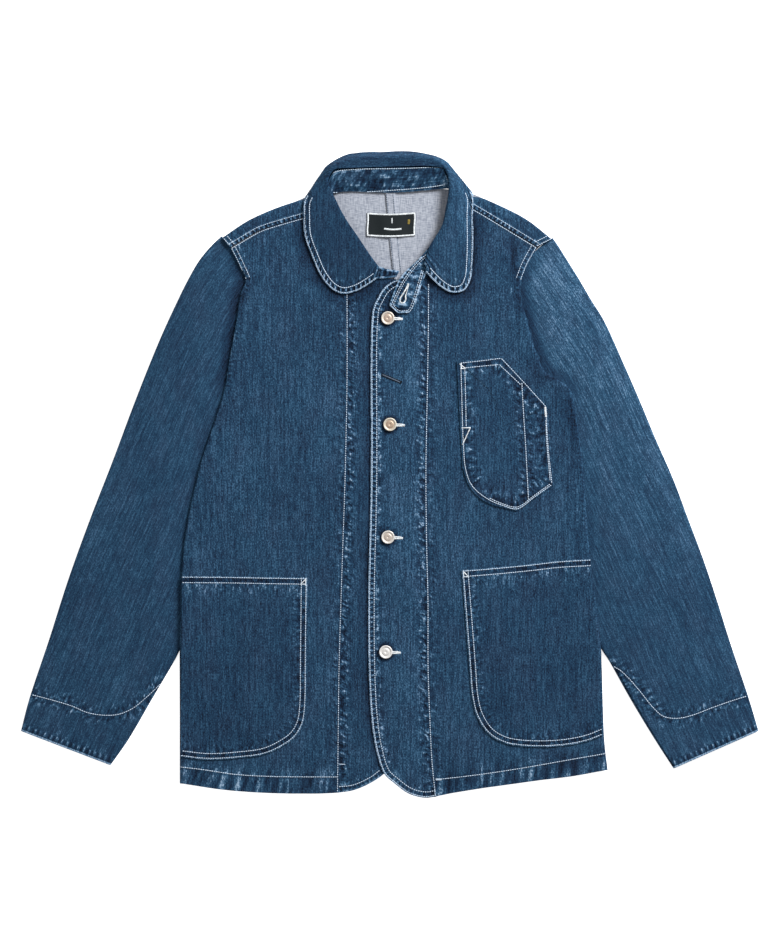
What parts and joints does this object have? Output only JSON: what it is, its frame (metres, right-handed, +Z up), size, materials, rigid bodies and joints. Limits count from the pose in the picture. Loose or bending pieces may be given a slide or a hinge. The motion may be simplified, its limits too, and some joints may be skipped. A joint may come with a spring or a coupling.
{
  "type": "chore jacket",
  "caption": "Denim chore jacket laid flat on its back, buttoned, with a rounded collar, a buttoned collar tab and patch pockets.",
  "frame": {"origin": "on the surface it lies on, below the centre of its box", "axes": "+X to the wearer's left, +Y from the hem to the collar, +Z up from the surface to its front"},
  "size_m": [0.8846, 0.7757, 0.016],
  "materials": {
    "denim": "washed indigo denim with off-white stitching, grey inside",
    "label": "black woven tape",
    "button_metal": "tarnished silver-coloured tack buttons with a coppery tinge",
    "thread": "off-white cotton sewing thread"
  },
  "bodies": {
    "root": {"back_right": "denim", "back_left": "denim", "sleeve_right": "denim", "sleeve_left": "denim", "front_right": "denim", "front_left": "denim", "hip_pocket_right": "denim", "hip_pocket_left": "denim", "chest_pocket": "denim", "collar_stand": "denim", "collar_fall": "denim", "neck_label": "label", "button_1": "button_metal", "button_2": "button_metal", "button_3": "button_metal", "button_4": "button_metal"}
  },
  "joints": []
}
